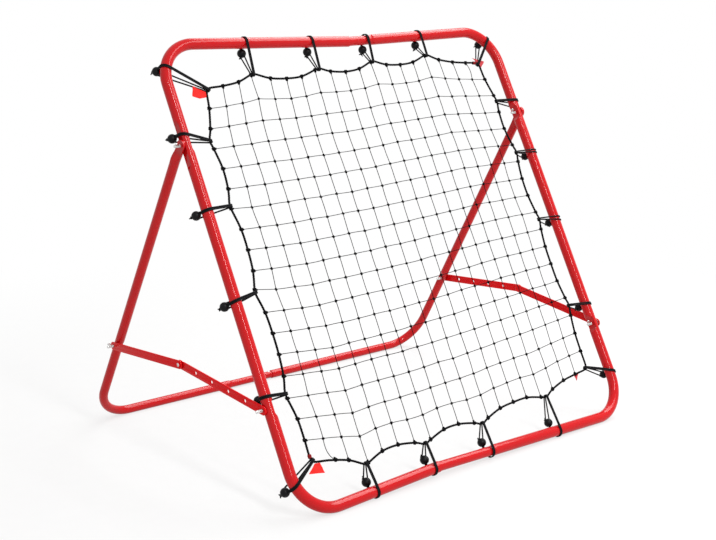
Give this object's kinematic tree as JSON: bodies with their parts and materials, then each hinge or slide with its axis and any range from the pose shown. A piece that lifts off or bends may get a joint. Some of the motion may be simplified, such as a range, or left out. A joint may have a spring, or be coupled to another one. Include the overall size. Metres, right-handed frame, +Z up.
{
  "type": "soccer rebounder",
  "caption": "Folding ball rebounder: a net held by elastic loops in a slanted steel tube frame, with a rear stand on bolted folding braces.",
  "frame": {"origin": "on the floor, in the middle of the whole object's width and depth", "axes": "+Z up; +X to the viewer's right with the net seen from its playing side; the playing side faces -Y and the rear stand is at +Y"},
  "size_m": [1.026, 0.7685, 0.8696],
  "materials": {
    "red_paint": "glossy red powder coat on steel tube and strip",
    "zinc_steel": "bright zinc-plated fasteners",
    "black_twine": "matt black knotted twine and rope",
    "black_elastic": "black braided elastic cord with a satin black ball",
    "red_strap": "matt red woven strap"
  },
  "bodies": {
    "front_frame": {"front_frame_left": "red_paint", "front_frame_right": "red_paint", "net": "black_twine", "border_rope": "black_twine", "corner_tab_top_left": "red_strap", "corner_tab_top_right": "red_strap", "corner_tab_bottom_left": "red_strap", "corner_tab_bottom_right": "red_strap", "elastic_top_1": "black_elastic", "elastic_top_2": "black_elastic", "elastic_top_3": "black_elastic", "elastic_top_4": "black_elastic", "elastic_bottom_1": "black_elastic", "elastic_bottom_2": "black_elastic", "elastic_bottom_3": "black_elastic", "elastic_bottom_4": "black_elastic", "elastic_left_1": "black_elastic", "elastic_left_2": "black_elastic", "elastic_left_3": "black_elastic", "elastic_left_4": "black_elastic", "elastic_right_1": "black_elastic", "elastic_right_2": "black_elastic", "elastic_right_3": "black_elastic", "elastic_right_4": "black_elastic", "elastic_top_left": "black_elastic", "elastic_top_right": "black_elastic", "elastic_bottom_left": "black_elastic", "elastic_bottom_right": "black_elastic", "pivot_bolt_left": "zinc_steel", "pivot_bolt_right": "zinc_steel", "front_brace_bolt_left": "zinc_steel", "front_brace_bolt_right": "zinc_steel", "brace_washer_left": "zinc_steel", "brace_washer_right": "zinc_steel"},
    "rear_stand": {"rear_frame_left": "red_paint", "rear_frame_right": "red_paint", "rear_bar_screw": "zinc_steel", "rear_brace_bolt_left": "zinc_steel", "rear_brace_bolt_right": "zinc_steel"},
    "front_bar_left": {"front_brace_bar_left": "red_paint", "middle_nut_left": "zinc_steel"},
    "rear_bar_left": {"rear_brace_bar_left": "red_paint", "middle_bolt_left": "zinc_steel"},
    "front_bar_right": {"front_brace_bar_right": "red_paint", "middle_bolt_right": "zinc_steel"},
    "rear_bar_right": {"rear_brace_bar_right": "red_paint", "middle_nut_right": "zinc_steel"},
    "pivot_wing_nut_left": {"pivot_wing_nut_left": "zinc_steel"},
    "pivot_wing_nut_right": {"pivot_wing_nut_right": "zinc_steel"},
    "front_brace_wing_nut_left": {"front_brace_wing_nut_left": "zinc_steel"},
    "front_brace_wing_nut_right": {"front_brace_wing_nut_right": "zinc_steel"},
    "rear_brace_wing_nut_left": {"rear_brace_wing_nut_left": "zinc_steel"},
    "rear_brace_wing_nut_right": {"rear_brace_wing_nut_right": "zinc_steel"}
  },
  "joints": [
    {"name": "stand_fold", "type": "hinge", "parent": "front_frame", "child": "rear_stand", "pos_m": [0.00565, -0.009, 0.67007], "axis": [1, 0, 0], "range_deg": [-37.5, 0]},
    {"name": "front_bar_turn_left", "type": "hinge", "parent": "front_frame", "child": "front_bar_left", "pos_m": [-0.4626, -0.269, 0.19713], "axis": [1, 0, 0], "range_deg": [0, 44.67]},
    {"name": "rear_bar_turn_left", "type": "hinge", "parent": "rear_stand", "child": "rear_bar_left", "pos_m": [-0.4626, 0.26093, 0.20628], "axis": [1, 0, 0], "range_deg": [-43.53, 0]},
    {"name": "front_bar_turn_right", "type": "hinge", "parent": "front_frame", "child": "front_bar_right", "pos_m": [0.4739, -0.269, 0.19713], "axis": [1, 0, 0], "range_deg": [0, 44.67]},
    {"name": "rear_bar_turn_right", "type": "hinge", "parent": "rear_stand", "child": "rear_bar_right", "pos_m": [0.4739, 0.26093, 0.20628], "axis": [1, 0, 0], "range_deg": [-43.53, 0]},
    {"name": "pivot_nut_turn_left", "type": "hinge", "parent": "front_frame", "child": "pivot_wing_nut_left", "pos_m": [-0.4626, -0.009, 0.67007], "axis": [1, 0, 0], "continuous": true},
    {"name": "pivot_nut_turn_right", "type": "hinge", "parent": "front_frame", "child": "pivot_wing_nut_right", "pos_m": [0.4739, -0.009, 0.67007], "axis": [1, 0, 0], "continuous": true},
    {"name": "front_brace_nut_turn_left", "type": "hinge", "parent": "front_frame", "child": "front_brace_wing_nut_left", "pos_m": [-0.4626, -0.269, 0.19713], "axis": [1, 0, 0], "continuous": true},
    {"name": "front_brace_nut_turn_right", "type": "hinge", "parent": "front_frame", "child": "front_brace_wing_nut_right", "pos_m": [0.4739, -0.269, 0.19713], "axis": [1, 0, 0], "continuous": true},
    {"name": "rear_brace_nut_turn_left", "type": "hinge", "parent": "rear_stand", "child": "rear_brace_wing_nut_left", "pos_m": [-0.4626, 0.26093, 0.20628], "axis": [1, 0, 0], "continuous": true},
    {"name": "rear_brace_nut_turn_right", "type": "hinge", "parent": "rear_stand", "child": "rear_brace_wing_nut_right", "pos_m": [0.4739, 0.26093, 0.20628], "axis": [1, 0, 0], "continuous": true}
  ],
  "couplings": [
    {"joint": "front_bar_turn_left", "follows": "stand_fold", "ratio": -1.178},
    {"joint": "rear_bar_turn_left", "follows": "stand_fold", "ratio": 1.1474},
    {"joint": "front_bar_turn_right", "follows": "stand_fold", "ratio": -1.178},
    {"joint": "rear_bar_turn_right", "follows": "stand_fold", "ratio": 1.1474}
  ]
}
